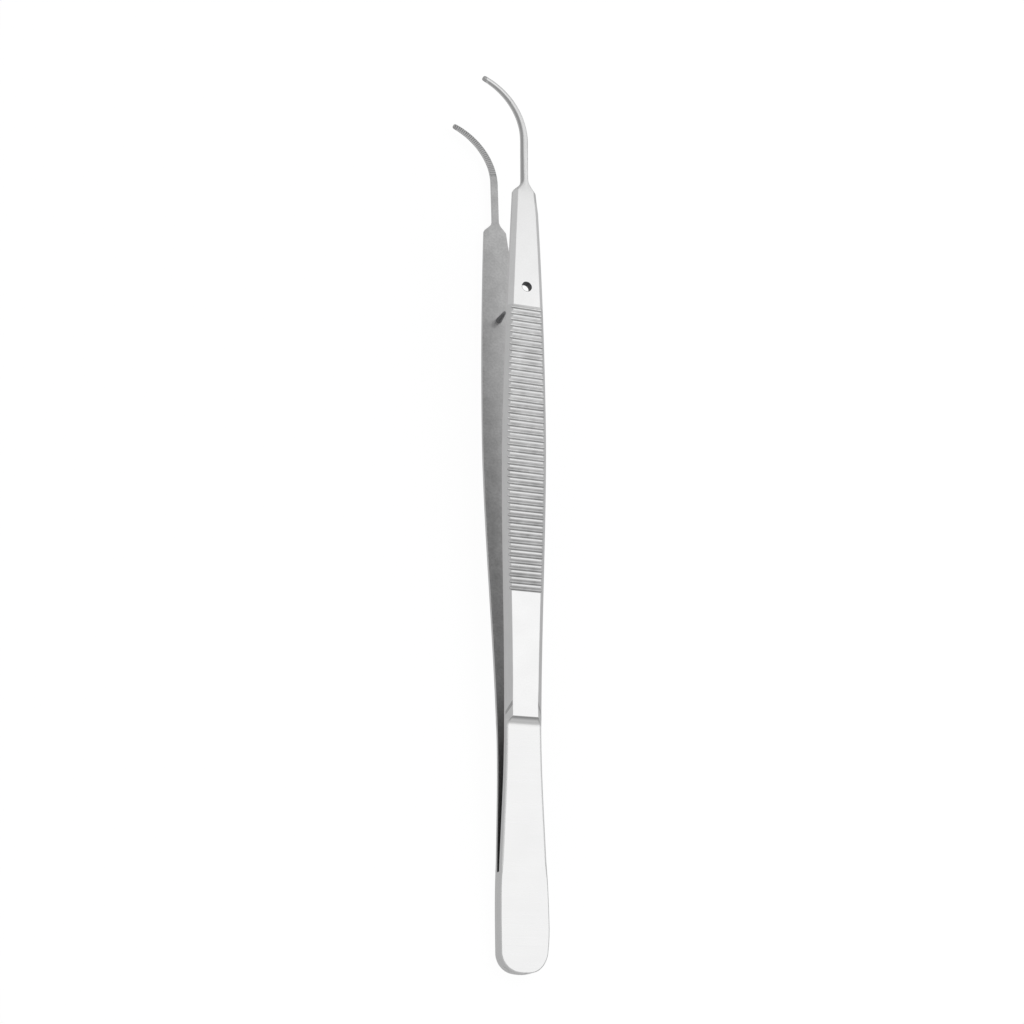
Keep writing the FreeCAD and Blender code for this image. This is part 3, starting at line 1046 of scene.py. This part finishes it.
@dataclass
class GuidePin:
    """The tapered pin riveted into the second arm, with a round end."""

    sizes: ForcepsSizes
    corners: int = 40

    def make(self, cutter: GuideCutter) -> bpy.types.Object:
        """Turns the pin out of a cylinder.

        Args:
            cutter: The bore's cutter, which knows the bore's place.

        Returns:
            The pin in millimetres on the bench, below the middle plane.
        """
        s = self.sizes
        shank = s.blade_height(s.guide)
        radius = s.pin_diameter / 2
        bpy.ops.object.select_all(action="DESELECT")
        bpy.ops.mesh.primitive_cylinder_add(vertices=self.corners, radius=radius, depth=shank,
                                            location=(0, 0, shank / 2))
        pin = bpy.context.object
        pin.name = "tapered_guide_pin"
        bpy.ops.object.transform_apply(location=True, rotation=True, scale=True)
        bpy.ops.object.mode_set(mode="EDIT")
        mesh = bmesh.from_edit_mesh(pin.data)
        for face in mesh.faces:
            face.select = face.normal.z < -0.9
        bmesh.update_edit_mesh(pin.data)
        end = s.pin_end_diameter / 2
        taper = s.pin_length - end
        profile = [(0.12, radius), (taper, end)]
        profile += [(taper + end * math.sin(turn), end * math.cos(turn))
                    for turn in steps(0, math.radians(80), 6)]
        along, wide = 0.0, radius
        for next_along, next_wide in profile:
            bpy.ops.mesh.extrude_region_move(
                TRANSFORM_OT_translate={"value": (0, 0, along - next_along)})
            scale = next_wide / wide
            bpy.ops.transform.resize(value=(scale, scale, 1), center_override=(0, 0, -next_along))
            along, wide = next_along, next_wide
        bpy.ops.object.mode_set(mode="OBJECT")
        flip = Matrix.Scale(-1, 4, (0, 0, 1))
        pin.data.transform(flip @ cutter.frame())
        pin.data.flip_normals()
        pin.data.materials.append(PIN_FACE.material())
        only(pin)
        bpy.ops.object.shade_smooth_by_angle(angle=SMOOTH_ANGLE)
        return pin


@dataclass(frozen=True)
class PhotoCamera:
    """The camera that took the photograph, as fitted to the forceps' edges and grooves."""

    aim_mm: tuple[float, float, float] = (1.729, -1.926, 6.0)
    distance_mm: float = 343.83
    azimuth: float = -40.379
    elevation: float = 59.096
    roll: float = 2.217
    lens_mm: float = 62.15

    def place(self) -> None:
        """Makes the camera and gives it to the scene."""
        back = outward(self.azimuth, self.elevation)
        up = (Vector((0, 1, 0)) - back * back.y).normalized()
        right = up.cross(back)
        roll = math.radians(self.roll)
        side = right * math.cos(roll) - up * math.sin(roll)
        top = right * math.sin(roll) + up * math.cos(roll)
        data = bpy.data.cameras.new("photo_camera")
        data.lens = self.lens_mm
        data.sensor_width = 36.0
        data.clip_start = 0.01
        data.clip_end = 50.0
        camera = bpy.data.objects.new("photo_camera", data)
        bpy.context.scene.collection.objects.link(camera)
        spot = Vector(self.aim_mm) * METRES + back * self.distance_mm * METRES
        axes = Matrix((side, top, back)).transposed().to_4x4()
        camera.matrix_world = Matrix.Translation(spot) @ axes
        bpy.context.scene.camera = camera


@dataclass(frozen=True)
class Softbox:
    """A square lamp that faces the forceps."""

    name: str
    azimuth: float
    elevation: float
    distance: float
    size: float
    glow: float

    def hang(self) -> None:
        """Adds the lamp. Its glow is the brightness of its face, where 1 is white."""
        back = outward(self.azimuth, self.elevation)
        data = bpy.data.lights.new(self.name, "AREA")
        data.shape = "SQUARE"
        data.size = self.size
        data.energy = self.glow * math.pi * self.size ** 2
        lamp = bpy.data.objects.new(self.name, data)
        bpy.context.scene.collection.objects.link(lamp)
        lamp.matrix_world = (Matrix.Translation(back * self.distance)
                             @ (-back).to_track_quat("-Z", "Y").to_matrix().to_4x4())


@dataclass(frozen=True)
class Studio:
    """A plain white table in soft light.

    table_white and the room are as bright as white to the camera alone. table_in_steel and
    room_in_steel are what the steel mirrors, and room_level lights what is matt. shadow_share is how
    much of the table's own shade shows through its white.
    """

    table_size: float = 6.0
    table_colour: str = "#F4F4F4"
    table_white: float = 1.08
    table_in_steel: float = 0.52
    shadow_share: float = 0.14
    room_level: float = 0.48
    room_in_steel: float = 0.54
    softboxes: tuple[Softbox, ...] = (
        Softbox("overhead_softbox", azimuth=105.0, elevation=70.0, distance=0.9, size=0.80, glow=0.58),
        Softbox("front_softbox", azimuth=19.0, elevation=26.0, distance=1.3, size=0.66, glow=0.40),
    )

    def lay_table(self) -> bpy.types.Object:
        """Makes the table top, which shows white and keeps a faint shadow of the forceps.

        Returns:
            The table top.
        """
        bpy.ops.object.select_all(action="DESELECT")
        bpy.ops.mesh.primitive_plane_add(size=self.table_size)
        table = bpy.context.object
        table.name = "table_top"
        material = bpy.data.materials.new("white_laminate_table")
        material.use_nodes = True
        material.cycles.emission_sampling = "NONE"
        tree = material.node_tree
        tree.nodes.clear()
        ray = add_node(tree, "ShaderNodeLightPath")
        matt = add_node(tree, "ShaderNodeBsdfDiffuse", {"Color": linear(self.table_colour)})
        white = add_node(tree, "ShaderNodeEmission", {"Strength": self.table_white})
        dim = add_node(tree, "ShaderNodeEmission", {"Strength": self.table_in_steel})
        seen = add_node(tree, "ShaderNodeMath", {"operation": "MULTIPLY", 1: 1 - self.shadow_share},
                        {0: ray.outputs["Is Camera Ray"]})
        shown = add_node(tree, "ShaderNodeMixShader", None,
                         {0: seen.outputs[0], 1: matt.outputs[0], 2: white.outputs[0]})
        mirrored = add_node(tree, "ShaderNodeMixShader", {0: 0.0},
                            {0: ray.outputs["Is Glossy Ray"], 1: shown.outputs[0], 2: dim.outputs[0]})
        add_node(tree, "ShaderNodeOutputMaterial", None, {"Surface": mirrored.outputs[0]})
        table.data.materials.append(material)
        return table

    def light_room(self) -> None:
        """Gives the room an even light that shows white to the camera."""
        world = bpy.data.worlds.new("studio_room")
        bpy.context.scene.world = world
        world.use_nodes = True
        tree = world.node_tree
        tree.nodes.clear()
        ray = add_node(tree, "ShaderNodeLightPath")
        level = add_node(tree, "ShaderNodeMix", {"A": self.room_level, "B": self.room_in_steel},
                         {"Factor": ray.outputs["Is Glossy Ray"]})
        seen = add_node(tree, "ShaderNodeMix", {"B": 1.0},
                        {"Factor": ray.outputs["Is Camera Ray"], "A": level.outputs[0]})
        light = add_node(tree, "ShaderNodeBackground", {"Color": linear("#FFFFFF")},
                         {"Strength": seen.outputs[0]})
        add_node(tree, "ShaderNodeOutputWorld", None, {"Surface": light.outputs[0]})

    def set_up(self) -> None:
        """Lays the table, lights the room and hangs the lamps."""
        self.lay_table()
        self.light_room()
        for softbox in self.softboxes:
            softbox.hang()
        bpy.context.scene.view_settings.view_transform = "Standard"


def main() -> None:
    """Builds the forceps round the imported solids, then the studio and the camera."""
    logging.basicConfig(level=logging.INFO, format="%(name)s: %(message)s")
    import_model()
    sizes = ForcepsSizes()
    bench = Bench(sizes)
    maker = Arm(sizes)
    drilled = maker.draw_out("drilled_forceps_arm")
    maker.finish(drilled)
    pinned = maker.turn_over(drilled, "pinned_forceps_arm")
    guide_hole = GuideCutter(sizes, sizes.pin_diameter / 2 + sizes.pin_clearance, sizes.hole_edge_break)
    guide_hole.cut(drilled)
    bench.lay(drilled, "drilled_arm", "arm_steel")
    bench.lay(pinned, "pinned_arm", "arm_steel")
    pin = GuidePin(sizes).make(guide_hole)
    bench.lay(pin, "guide_pin", "pin_steel")
    Studio().set_up()
    PhotoCamera().place()


if __name__ == "__main__":
    main()
